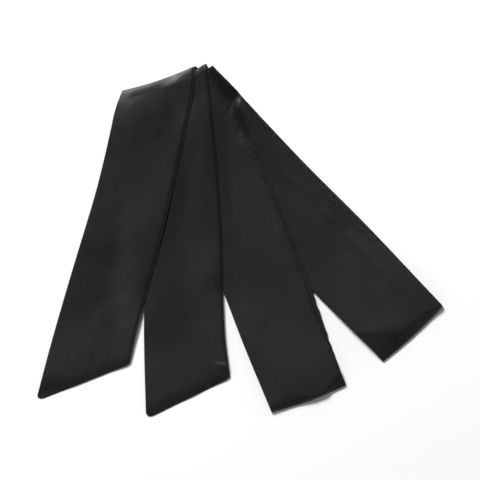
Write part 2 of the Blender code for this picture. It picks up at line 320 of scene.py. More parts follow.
# The stretches from the top of the pile down
STRETCHES = (
    Stretch(
        node="s1_upper_tail",
        piece="upper_tail_cloth",
        top=WRAP,
        cut=Cut(outer_corner=9.0, seam_corner=3.0, depth=5.0),
        sections=(
            TOP_OF_FAN,
            Section(76.3, 302.0, 155.0, 319.0),
            Section(72.7, 285.5, 150.4, 297.0),
            Section(65.8, 255.5, 143.2, 263.0),
            Section(58.2, 225.5, 134.5, 224.0),
            Section(46.4, 185.5, 123.0, 175.5),
            Section(37.2, 155.5, 113.9, 140.0),
            Section(25.3, 115.5, 103.5, 102.0),
            Section(13.9, 75.5, 96.9, 75.5),
            Section(-2.3, 14.5, 91.8, 51.5),
        ),
        ridges=(
            Ridge(route=((-22.0, 33.0), (13.4, 43.0), (34.9, 40.5), (56.3, 50.0), (77.7, 61.5),
                         (118.0, 70.0)),
                  left=60.0, right=18.0, height=1.3, fade=8.0),
            Ridge(route=((92.0, 345.0), (86.0, 300.0), (80.0, 262.0), (71.0, 226.0), (59.0, 186.0),
                         (49.0, 150.0)),
                  left=53.0, right=46.0, height=1.75, fade=62.0, dies=34.0),
            Ridge(route=((46.0, 86.0), (66.0, 101.0), (84.0, 112.0), (97.0, 121.0)),
                  left=12.0, right=14.0, height=0.18, fade=16.0),
        ),
        swells=(Swell(x=103.0, y=303.0, angle=-60.0, half_length=36.0, half_width=34.0, height=0.55),),
        press=Press(seam_flat=1.5, seam_reach=3.9, seam_share=0.42, uneven=0.2, hem_reach=13.0,
                    hem_share=0.5),
    ),
    Stretch(
        node="s6_lower_tail",
        piece="lower_tail_cloth",
        top=PRESSED,
        cut=Cut(outer_corner=8.0, seam_corner=6.0, depth=5.0),
        sections=(
            TURN_3_TO_TAIL,
            Section(97.8, 288.0, 173.6, 308.0),
            Section(99.5, 256.0, 178.3, 263.0),
            Section(103.5, 193.0, 183.0, 193.0),
            Section(106.0, 107.0, 185.2, 111.0),
            Section(106.0, 75.5, 187.3, 75.5),
            Section(106.6, 46.0, 190.0, 54.0),
            Section(108.1, -3.3, 192.2, 37.7),
        ),
        ridges=(
            Ridge(route=((90.0, 4.0), (118.4, 16.5), (132.7, 26.0), (151.3, 30.0), (161.3, 41.0),
                         (177.0, 46.5), (206.0, 54.0)),
                  left=60.0, right=18.0, height=1.3, fade=8.0),
            Ridge(route=UNDER_FIRST_SEAM + ((107.0, 60.0),),
                  left=56.0, right=36.0, height=1.3, fade=110.0, dies=34.0),
            Ridge(route=UNDER_FIRST_SEAM, left=25.0, right=42.0, height=1.1, fade=50.0, dies=40.0),
            Ridge(route=((175.0, 52.0), (184.0, 51.0), (196.0, 49.0)),
                  left=3.4, right=5.0, height=0.62, fade=7.0),
        ),
        press=Press(seam_reach=3.0, seam_share=0.4, uneven=0.3, hem_reach=13.0, hem_share=0.5),
    ),
    Stretch(
        node="s5_limb_3_over",
        piece="limb_3_over_cloth",
        bottom=LIMB_3_END,
        start=PRESSED_RUN,
        sections=(
            TURN_3_TO_TAIL,
            Section(115.0, 278.5, 187.0, 317.0),
            Section(133.5, 246.0, 205.0, 281.0),
            Section(150.5, 208.5, 223.0, 244.5),
            Section(169.5, 165.0, 244.5, 195.0),
            Section(187.3, 119.0, 262.0, 147.5),
            Section(207.9, 65.5, 282.8, 88.5),
            END_OF_LIMB_3,
        ),
        ridges=(
            Ridge(route=((160.0, 345.0), (166.0, 308.0), (170.5, 263.0), (175.5, 193.0), (178.0, 120.0)),
                  left=22.0, right=30.0, height=1.3, fade=44.0, dies=26.0),
            Ridge(route=((144.0, 331.5), (167.5, 346.0), (170.0, 347.6)),
                  left=6.0, right=20.0, height=0.7, fade=6.0, dies=3.0),
            Ridge(route=((171.0, 337.0), (176.5, 327.0), (181.0, 319.5), (187.0, 313.0)),
                  left=1.4, right=5.0, height=0.5, fade=6.0),
            Ridge(route=((189.0, 301.0), (192.0, 296.0), (196.5, 285.5), (200.5, 279.0)),
                  left=3.2, right=3.2, height=0.22, fade=7.0),
        ),
        swells=(
            Swell(x=255.0, y=17.0, angle=28.0, half_length=24.0, half_width=16.0, height=-0.2),
        ),
        press=Press(seam_reach=4.4, seam_share=0.42, uneven=0.8),
        ragged=0.35,
    ),
    Stretch(
        node="s4_limb_3_under",
        piece="limb_3_under_cloth",
        top=PRESSED,
        press=Press(seam_reach=8.0, seam_share=0.6, uneven=0.4),
        ragged=0.5,
        fineness=Fineness.HIDDEN,
        sections=(
            TURN_3_TO_4,
            Section(122.0, 274.0, 188.0, 321.5),
            Section(140.0, 242.0, 212.5, 272.5),
            Section(157.0, 204.0, 231.0, 235.0),
            Section(175.0, 160.0, 249.5, 189.5),
            Section(191.5, 115.5, 267.5, 144.5),
            Section(210.5, 63.0, 286.5, 89.0),
            END_OF_LIMB_3,
        ),
    ),
    Stretch(
        node="s3_limb_4_over",
        piece="limb_4_over_cloth",
        bottom=LIMB_4_END,
        start=PRESSED_RUN,
        sections=(
            TURN_3_TO_4,
            Section(146.5, 264.0, 201.8, 322.1),
            Section(169.0, 239.0, 225.0, 294.3),
            Section(205.5, 198.5, 261.0, 255.3),
            Section(274.5, 125.2, 330.0, 186.0),
            END_OF_LIMB_4,
        ),
        swells=(Swell(x=345.0, y=75.0, angle=42.5, half_length=40.0, half_width=34.0, height=0.8),),
        facets=(
            Facet(route=((300.0, 86.0), (328.0, 83.5), (349.5, 86.0), (361.0, 86.5), (404.0, 126.0)),
                  slope=0.17, depth=4.0, soft=1.2),
        ),
        ridges=(
            Ridge(route=((172.6, 363.7), (182.4, 353.4), (194.4, 341.4), (210.6, 324.0)),
                  left=15.0, right=23.0, height=5.0, fade=14.0, dies=16.0),
            Ridge(route=((193.5, 312.5), (201.0, 310.0), (205.5, 305.0), (209.5, 298.0), (223.0, 270.0),
                         (246.0, 230.0)),
                  left=17.0, right=16.0, height=2.9, fade=8.0, dies=88.0),
            Ridge(route=((204.0, 285.0), (226.0, 240.0), (243.0, 200.0), (258.0, 162.0)),
                  left=16.0, right=14.0, height=0.8, fade=20.0),
            Ridge(route=((243.0, 250.0), (250.0, 239.0), (265.0, 227.5), (273.0, 218.0)),
                  left=6.0, right=5.0, height=0.15, fade=9.0, crest=1.6),
            Ridge(route=((282.0, 209.5), (290.0, 202.5), (300.0, 192.0)),
                  left=2.2, right=9.0, height=0.34, fade=7.0, crest=1.5),
            Ridge(route=((290.0, 220.0), (300.0, 211.5)),
                  left=1.8, right=3.0, height=0.18, fade=4.0, crest=1.4),
            Ridge(route=((305.0, 196.0), (312.0, 188.0)),
                  left=3.2, right=6.0, height=0.24, fade=5.0, crest=1.5),
            Ridge(route=((316.0, 191.0), (326.0, 185.0), (339.0, 172.0)),
                  left=2.0, right=4.0, height=0.3, fade=8.0, crest=1.3),
            Ridge(route=((306.0, 187.0), (318.0, 172.0), (334.0, 155.0), (348.0, 140.0)),
                  left=8.0, right=11.0, height=0.45, fade=12.0, crest=1.6),
            Ridge(route=((346.0, 142.0), (358.0, 130.0), (374.0, 112.0), (388.0, 99.0)),
                  left=2.0, right=4.5, height=0.4, fade=8.0, crest=1.4),
        ),
        press=Press(seam_reach=2.6, seam_share=0.45, uneven=0.7),
        ragged=0.2,
    ),
    Stretch(
        node="s2_limb_4_under",
        piece="limb_4_under_cloth",
        sections=(
            slid(TOP_OF_FAN, WRAP.slip),
            Section(140.0, 266.0, 202.0, 321.0),
            Section(169.0, 241.0, 226.2, 295.5),
            Section(207.0, 199.5, 263.0, 256.6),
            Section(276.5, 126.0, 331.6, 187.7),
            END_OF_LIMB_4,
        ),
    ),
)


def ease(value: np.ndarray) -> np.ndarray:
    """Return a smooth step from 0 to 1."""
    value = np.clip(value, 0.0, 1.0)
    return value * value * (3 - 2 * value)


def wavy(places: np.ndarray, waves: tuple) -> np.ndarray:
    """Return the sum of some waves at places along a stretch."""
    return sum(np.sin(places / wave.pace + wave.shift) * wave.share for wave in waves)


def smooth_path(knots: np.ndarray, values: np.ndarray, at: np.ndarray) -> np.ndarray:
    """Read the smooth curve that passes through values at knots.

    Args:
        knots: Places of the given values.
        values: One row of numbers for each knot.
        at: Places to read the curve at.

    Returns:
        One row of numbers for each place.
    """
    slopes = np.gradient(values, knots, axis=0)
    index = np.clip(np.searchsorted(knots, at, side="right") - 1, 0, len(knots) - 2)
    span = (knots[index + 1] - knots[index])[:, None]
    part = (at[:, None] - knots[index][:, None]) / span
    square, cube = part ** 2, part ** 3
    return ((2 * cube - 3 * square + 1) * values[index]
            + (cube - 2 * square + part) * span * slopes[index]
            + (3 * square - 2 * cube) * values[index + 1]
            + (cube - square) * span * slopes[index + 1])


def nearest_on_route(points: np.ndarray, starts: np.ndarray,
                     ends: np.ndarray) -> tuple[np.ndarray, np.ndarray]:
    """Measure points against straight pieces of a route.

    Args:
        points: Plan positions, one in each row.
        starts: Where each piece of the route begins.
        ends: Where it ends.

    Returns:
        Each point's distance to every piece, and the share along that piece of the nearest spot.
    """
    x, y = points[:, :1], points[:, 1:2]
    side = ends - starts
    share = ((x - starts[:, 0]) * side[:, 0] + (y - starts[:, 1]) * side[:, 1]) / (side ** 2).sum(axis=1)
    share = np.clip(share, 0.0, 1.0)
    away = np.hypot(x - starts[:, 0] - share * side[:, 0], y - starts[:, 1] - share * side[:, 1])
    return away, share


def distance_outside(points: np.ndarray, polygon: np.ndarray) -> np.ndarray:
    """Measure how far points lie outside a polygon.

    Args:
        points: Plan positions, one in each row.
        polygon: The polygon's corners, one in each row.

    Returns:
        Each point's distance to the polygon, and zero inside it.
    """
    starts, ends = polygon, np.roll(polygon, -1, axis=0)
    away = nearest_on_route(points, starts, ends)[0].min(axis=1)
    x, y = points[:, :1], points[:, 1:2]
    rise = ends[:, 1] - starts[:, 1]
    rise = np.where(np.abs(rise) < TINY, TINY, rise)
    crossed = (starts[:, 1] > y) != (ends[:, 1] > y)
    crossing = starts[:, 0] + (y - starts[:, 1]) * (ends[:, 0] - starts[:, 0]) / rise
    inside = np.count_nonzero(crossed & (x < crossing), axis=1) % 2 == 1
    return np.where(inside, 0.0, away)


def swell_height(swell: Swell, points: np.ndarray) -> np.ndarray:
    """Work out one soft swell.

    Args:
        swell: The swell.
        points: Plan positions, one in each row.

    Returns:
        Its height at each point.
    """
    turn = math.radians(swell.angle)
    along = (points[:, 0] - swell.x) * math.cos(turn) + (points[:, 1] - swell.y) * math.sin(turn)
    over = (points[:, 1] - swell.y) * math.cos(turn) - (points[:, 0] - swell.x) * math.sin(turn)
    radius = (along / swell.half_length) ** 2 + (over / swell.half_width) ** 2
    return swell.height * np.clip(1 - radius, 0.0, None) ** 2


def ridge_height(ridge: Ridge, points: np.ndarray) -> np.ndarray:
    """Work out one ridge: full along its route, fading to its sides and at its ends.

    Args:
        ridge: The ridge.
        points: Plan positions, one in each row.

    Returns:
        Its height at each point.
    """
    route = np.array(ridge.route)
    steps = np.linalg.norm(np.diff(route, axis=0), axis=1)
    before = np.concatenate([[0.0], np.cumsum(steps)])
    away, share = nearest_on_route(points, route[:-1], route[1:])
    nearest = away.argmin(axis=1)
    rows = np.arange(len(points))
    along = before[nearest] + share[rows, nearest] * steps[nearest]
    ends = ease(along / ridge.fade) * ease((before[-1] - along) / (ridge.dies or ridge.fade))
    heading = (route[1:] - route[:-1])[nearest]
    offset = points - route[:-1][nearest]
    on_left = heading[:, 0] * offset[:, 1] - heading[:, 1] * offset[:, 0] > 0
    width = np.where(on_left, ridge.left, ridge.right)
    side = np.clip(1 - (away[rows, nearest] / width) ** ridge.crest, 0.0, None)
    return ridge.height * side ** 2 * ends


def facet_drop(facet: Facet, points: np.ndarray) -> np.ndarray:
    """Work out the slope of one facet.

    Args:
        facet: The facet.
        points: Plan positions, one in each row.

    Returns:
        How far it lowers the cloth at each point.
    """
    route = np.array(facet.route)
    away = nearest_on_route(points, route[:-1], route[1:])[0]
    nearest = away.argmin(axis=1)
    heading = (route[1:] - route[:-1])[nearest]
    offset = points - route[:-1][nearest]
    on_right = heading[:, 0] * offset[:, 1] - heading[:, 1] * offset[:, 0] < 0
    bent = np.hypot(np.where(on_right, away.min(axis=1), 0.0), facet.soft) - facet.soft
    return facet.depth * (1 - np.exp(-facet.slope * bent / facet.depth))


def ridged(stretch: Stretch, points: np.ndarray) -> np.ndarray:
    """Add up a stretch's ridges.

    Args:
        stretch: The stretch.
        points: Plan positions, one in each row.

    Returns:
        How far they lift the cloth at each point.
    """
    lifted = np.zeros(len(points))
    for ridge in stretch.ridges:
        lifted += ridge_height(ridge, points)
    return lifted


def rest_height(level: int, points: np.ndarray) -> np.ndarray:
    """Work out the height of the middle of a layer that lies on the layers below it.

    Args:
        level: Place of the layer in the pile, from 0 at the top.
        points: Plan positions, one in each row.

    Returns:
        The height at each point.
    """
    height = np.full(len(points), WALL / 2)
    for between, lower in enumerate(STRETCHES[level + 1:]):
        away = distance_outside(points, lower.outline())
        height += PITCH * ease(1 - (away - COVER_MARGIN) / (COVER_FALL + COVER_SOFTER * between))
        height += ridged(lower, points)
    return height


def lift(height: np.ndarray, distance: np.ndarray, fold: Fold, across: np.ndarray) -> np.ndarray:
    """Raise a layer towards the height it has at its fold.

    Args:
        height: The layer's height at each point.
        distance: How far each point lies from the fold.
        fold: The fold.
        across: Each point's share across the strip.

    Returns:
        The raised heights.
    """
    return height + np.maximum(fold.height(across) - height, 0.0) * ease(1 - distance / fold.lead)


@dataclass(frozen=True)
class ClothPiece:
    """The cloth of one stretch: a flat tube of satin with a real ply, from fold to fold."""

    level: int
    edge_turns: tuple = (0.0, 22.0, 42.0, 60.0, 76.0, 90.0)   # angles of the points round a soft edge
    seam_zone: float = 6.5     # strip along the seam where the mesh is finer
    seam_spacing: float = 0.5
    roll_steps: int = 26       # sections round a soft fold
    pressed_steps: int = 10    # and round a pressed one
    cut_places: int = 5        # places over a sewn end's rounding, up to its soft edge

    @property
    def stretch(self) -> Stretch:
        """Return the stretch that this cloth belongs to."""
        return STRETCHES[self.level]

    def columns(self) -> np.ndarray:
        """Space the points across the strip.

        Returns:
            Their places, from the outer edge.
        """
        round_edge = EDGE_REACH * (1 - np.cos(np.radians(self.edge_turns)))
        last = STRIP - EDGE_REACH - self.seam_spacing / 2
        finer = np.arange(STRIP - self.seam_zone, last, self.seam_spacing)
        count = int((finer[0] - EDGE_REACH) / self.stretch.fineness.value)
        even = np.linspace(EDGE_REACH, finer[0], count + 1)[1:-1]
        return np.concatenate([round_edge, even, finer, STRIP - round_edge[::-1]])

    def roundness(self, places: np.ndarray, length: float) -> np.ndarray:
        """Work out how much of its full height the tube has near its soft edges.

        Args:
            places: Distances from one edge.
            length: Distance from that edge to the opposite one.

        Returns:
            The share at each place.
        """
        inward = np.minimum(np.minimum(places, length - places) / EDGE_REACH, 1.0)
        return np.sqrt(np.clip(1 - (1 - inward) ** 2, 0.0, None))

    def layer(self, places: np.ndarray, across: np.ndarray) -> np.ndarray:
        """Place the middle of the cloth.

        Args:
            places: Distances along the stretch.
            across: A row of shares for each place, from 0 at the outer edge to 1 at the seam.

        Returns:
            Rows of points.
        """
        knots, rows = self.stretch.plan()
        edges = smooth_path(knots, rows, places)
        strayed = self.stretch.ragged * wavy(places, EDGE_WAVES) / EDGE_PEAK
        edges[:, 2] += strayed * ease(places / RAGGED_FADE) * ease((knots[-1] - places) / RAGGED_FADE)
        flat = edges[:, None, :2] + across[:, :, None] * (edges[:, None, 2:] - edges[:, None, :2])
        points = flat.reshape(-1, 2)
        along = np.repeat(places, across.shape[1])
        height = rest_height(self.level, points) + ridged(self.stretch, points)
        if self.stretch.top:
            height = lift(height, along, self.stretch.top, across.reshape(-1))
        if self.stretch.bottom:
            height = lift(height, knots[-1] - along, self.stretch.bottom, across.reshape(-1))
        for swell in self.stretch.swells:
            height += swell_height(swell, points)
        for facet in self.stretch.facets:
            height -= facet_drop(facet, points)
        return np.column_stack([points, height]).reshape(across.shape + (3,))

    def roll(self, line: np.ndarray, shares: np.ndarray, fold: Fold, outward: float) -> np.ndarray:
        """Carry the cloth round a fold to the layer below.

        Args:
            line: The upper layer's last row of points.
            shares: Their shares across the strip.
            fold: The fold.
            outward: 1 where the fold faces away from the near side, -1 where it faces towards it.

        Returns:
            Rows of points, from the upper layer down.
        """
        along = line[-1, :2] - line[0, :2]
        along = along / np.linalg.norm(along)
        out = np.array([-along[1], along[0]]) * outward
        if fold.slip:
            low = np.full(len(line), WALL / 2)
        elif fold.outer_height:
            low = rest_height(self.level + 1, line[:, :2])
        else:
            low = line[:, 2] - PITCH
        late, steep, tip, level = fold.curves(shares)
        under = np.maximum((line[:, 2] - low) * tip, PITCH / 2)
        over = line[:, 2] - low - under
        reach = fold.bulge + fold.bow * 4 * shares * (1 - shares)
        tall = ROUND_SHARE * (np.maximum(line[:, 2], fold.height(shares)) - low)
        reach = np.minimum(reach, tall ** 2 / BEND_LIMIT)
        tuck = np.minimum(reach, np.clip(under ** 2 / BEND_LIMIT, under, TUCK_SPREAD * under))
        steps = self.roll_steps if fold.outer_height else self.pressed_steps
        lean = np.interp(shares, (0.0, 1.0), fold.lean)
        rows = []
        for turn in np.linspace(0.0, math.pi, steps + 1)[1:]:
            if turn <= math.pi / 2:
                far = reach * np.sin(turn)
                fallen = np.clip((far / reach - level) / (1 - level), 0.0, 1.0) ** late
                crowned = fold.crown * (reach - far)
                height = low + under + (over - fold.crown * reach) * (1 - fallen) ** steep + crowned
                slid_by = lean * far / reach
            else:
                far = reach - tuck + tuck * np.sin(turn)
                height = low + under + under * np.cos(turn)
                slid_by = lean + (1 - lean) * (1 - np.sin(turn))
            spot = line[:, :2] + out * far[:, None] + along * fold.slip * slid_by[:, None]
            rows.append(np.column_stack([spot, height]))
        run = 0.0 if fold.outer_height else PRESSED_RUN
        rows.append(np.column_stack([line[:, :2] + along * fold.slip - out * run, low]))
        return np.array(rows)

    def surface(self) -> tuple[np.ndarray, np.ndarray]:
        """Lay out the middle of the cloth with its folds.

        Returns:
            Rows of points, and the share of the tube's full height at each of them.
        """
        stretch = self.stretch
        knots, rows = stretch.plan()
        length = knots[-1]
        across_mm = self.columns()
        last = length - stretch.cut.depth if stretch.cut else length
        steps = int(round((last - stretch.start) / stretch.fineness.value))
        places = np.linspace(stretch.start, last, steps + 1)
        inset = np.zeros((len(places), 2))
        if stretch.cut:
            edge = EDGE_REACH * (1 - np.cos(np.radians(self.edge_turns[::-1])))
            corner = np.linspace(stretch.cut.depth, EDGE_REACH, self.cut_places)
            left = np.concatenate([corner[1:-1], edge])
            turns = np.arcsin(1 - left / stretch.cut.depth)
            corners = np.array([stretch.cut.outer_corner, stretch.cut.seam_corner])
            places = np.concatenate([places, length - left])
            inset = np.concatenate([inset, (1 - np.cos(turns))[:, None] * corners])
        width = np.linalg.norm(rows[:, 2:] - rows[:, :2], axis=1).mean()
        first, taken = inset[:, :1] / width, inset.sum(axis=1, keepdims=True) / width
        across = first + across_mm / STRIP * (1 - taken)
        points = self.layer(places, across)
        full = np.repeat(self.roundness(across_mm, STRIP)[None, :], len(places), axis=0)
        if stretch.cut:
            full = full * self.roundness(length - places, 2 * length)[:, None]
        if stretch.top:
            turned = self.roll(points[0], across[0], stretch.top, 1.0)
            points = np.concatenate([turned[::-1], points])
        if stretch.bottom:
            turned = self.roll(points[-1], across[-1], stretch.bottom, -1.0)
            points = np.concatenate([points, turned])
        extra = len(points) - len(full)
        folded = np.repeat(full[:1], extra, axis=0)
        full = np.concatenate([folded, full] if stretch.top else [full, folded])
        return points, full

    def sides(self) -> tuple[np.ndarray, np.ndarray]:
        """Part the two faces of the flattened tube, which meet along its soft edges.

        Returns:
            Rows of points of the upper face, and of the lower one.
        """
        points, full = self.surface()
        travelled = []
        slopes = []
        for axis in (0, 1):
            steps = np.linalg.norm(np.diff(points, axis=axis), axis=2).mean(axis=1 - axis)
            travelled.append(np.concatenate([[0.0], np.cumsum(steps)]))
            slopes.append(np.gradient(points, travelled[-1], axis=axis))
        normal = np.cross(*slopes)
        normal /= np.linalg.norm(normal, axis=2, keepdims=True)
        along = travelled[0]
        left = self.stretch.press.left_over(STRIP - self.columns(), along[-1] - along, along)
        points = points - normal * (1 - left[:, :, None]) * WALL / 2
        offset = normal * (full * left)[:, :, None] * WALL / 2
        return points + offset, points - offset

    def build(self) -> bpy.types.Object:
        """Wrap a grid round the two faces and give the cloth its ply.

        Returns:
            The piece, still without its finish.
        """
        upper, lower = self.sides()
        ring = np.concatenate([upper, lower[:, -2::-1]], axis=1)
        ring[:, :, :2] -= MIDDLE
        ring *= MM
        across = self.columns()
        round_tube = np.concatenate([across, 2 * STRIP - across[-2::-1]]) * MM
        steps = np.linalg.norm(np.diff(ring, axis=0), axis=2).mean(axis=1)
        along = np.concatenate([[0.0], np.cumsum(steps)])
        rows, count = ring.shape[:2]
        shape = bmesh.new()
        bmesh.ops.create_grid(shape, x_segments=count - 1, y_segments=rows - 1, size=GRID_HALF)
        cloth_map = shape.loops.layers.uv.new(CLOTH_MAP)
        for vertex in shape.verts:
            point = int(round((vertex.co.x + GRID_HALF) * (count - 1)))
            row = int(round((vertex.co.y + GRID_HALF) * (rows - 1)))
            vertex.co = ring[row, point]
            for corner in vertex.link_loops:
                corner[cloth_map].uv = (round_tube[point], along[row] + self.level * MAP_STEP)
        bmesh.ops.remove_doubles(shape, verts=shape.verts, dist=WELD * MM)
        bmesh.ops.recalc_face_normals(shape, faces=shape.faces)
        mesh = bpy.data.meshes.new(self.stretch.piece)
        shape.to_mesh(mesh)
        shape.free()
        mesh.shade_smooth()
        piece = bpy.data.objects.new(self.stretch.piece, mesh)
        bpy.context.scene.collection.objects.link(piece)
        wall = piece.modifiers.new("ply", "SOLIDIFY")
        wall.thickness = PLY * MM
        wall.offset = -1.0
        return piece

    def dress(self, piece: bpy.types.Object, satin: bpy.types.Material) -> None:
        """Give the cloth its finish, attach it to the body and hide its solid.

        Args:
            piece: The cloth.
            satin: Its finish.
        """
        piece.data.materials.append(satin)
        length = self.stretch.plan()[0][-1]
        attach(piece, BODY)
        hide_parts(self.stretch.node)


class Noise(NamedTuple):
    """One soft noise over the cloth."""

    size: float                # of its patches, in metres
    detail: float              # how many finer layers it has
    stretch: float = 1.0       # how much longer than wide its patches are, along the strip
    shift: float = 0.0         # moves the pattern, so that two of the same size differ


class Wiring:
    """The nodes of one shader tree and the links between them."""

    def __init__(self, tree: bpy.types.NodeTree) -> None:
        """Work on a tree.

        Args:
            tree: The tree that gets the nodes.
        """
        self.tree = tree

    def feed(self, socket: bpy.types.NodeSocket, value: object) -> None:
        """Link a socket to another one, or give it a fixed value.

        Args:
            socket: The input that is fed.
            value: The other socket, or the value.
        """
        if isinstance(value, bpy.types.NodeSocket):
            self.tree.links.new(value, socket)
        else:
            socket.default_value = value

    def maths(self, operation: str, *values: object) -> bpy.types.NodeSocket:
        """Add one sum.

        Args:
            operation: The kind of sum.
            values: What goes in: sockets or numbers.

        Returns:
            The socket with the result.
        """
        made = self.tree.nodes.new("ShaderNodeMath")
        made.operation = operation
        for socket, value in zip(made.inputs, values):
            self.feed(socket, value)
        return made.outputs[0]

    def fade(self, value: bpy.types.NodeSocket, span: tuple, ends: tuple) -> bpy.types.NodeSocket:
        """Map a span of values smoothly onto another span.

        Args:
            value: What is mapped.
            span: The value where the change starts, and where it ends.
            ends: The results there.

        Returns:
            The socket with the result.
        """
        made = self.tree.nodes.new("ShaderNodeMapRange")
        made.interpolation_type = "SMOOTHSTEP"
        for name, number in zip(("From Min", "From Max", "To Min", "To Max"), span + ends):
            made.inputs[name].default_value = number
        self.feed(made.inputs["Value"], value)
        return made.outputs["Result"]

    def noise(self, place: bpy.types.NodeSocket, kind: Noise) -> bpy.types.NodeSocket:
        """Add soft noise with a mean of about 0.5.

        Args:
            place: Where the noise is read, in metres.
            kind: Its sizes.

        Returns:
            The socket with the noise.
        """
        moved = self.tree.nodes.new("ShaderNodeMapping")
        moved.inputs["Scale"].default_value = (1 / kind.size, 1 / (kind.size * kind.stretch), 1 / kind.size)
        moved.inputs["Location"].default_value = (kind.shift, kind.shift, kind.shift)
        made = self.tree.nodes.new("ShaderNodeTexNoise")
        made.inputs["Scale"].default_value = 1.0
        made.inputs["Detail"].default_value = kind.detail
        self.feed(moved.inputs["Vector"], place)
        self.feed(made.inputs["Vector"], moved.outputs["Vector"])
        return made.outputs["Fac"]

    def blend(self, way: str, factor: object, lower: object, upper: object) -> bpy.types.NodeSocket:
        """Lay one colour over another.

        Args:
            way: How they are mixed.
            factor: How much of the upper colour shows.
            lower: The lower colour.
            upper: The upper colour.

        Returns:
            The socket with the result.
        """
        made = self.tree.nodes.new("ShaderNodeMix")
        made.data_type = "RGBA"
        made.blend_type = way
        for name, value in (("Factor", factor), (COLOUR_A, lower), (COLOUR_B, upper)):
            self.feed(made.inputs[name], value)
        return made.outputs[COLOUR_OUT]


class Pattern(Enum):
    """The node groups that every satin shares."""

    THREADS = "satin_threads"
    RUMPLE = "soft_rumple"
    SEAM = "seam_edge"


def pattern_group(pattern: Pattern, results: tuple) -> tuple[Wiring, bpy.types.NodeSocket, bpy.types.Node]:
    """Start a node group that reads a place and gives numbers.

    Args:
        pattern: The group's kind.
        results: Names of the numbers that it gives.

    Returns:
        The group's wiring, the place that it reads and its output node.
    """
    tree = bpy.data.node_groups.new(pattern.value, "ShaderNodeTree")
    tree.interface.new_socket(name="Place", in_out="INPUT", socket_type="NodeSocketVector")
    for name in results:
        tree.interface.new_socket(name=name, in_out="OUTPUT", socket_type="NodeSocketFloat")
    place = tree.nodes.new("NodeGroupInput").outputs["Place"]
    return Wiring(tree), place, tree.nodes.new("NodeGroupOutput")


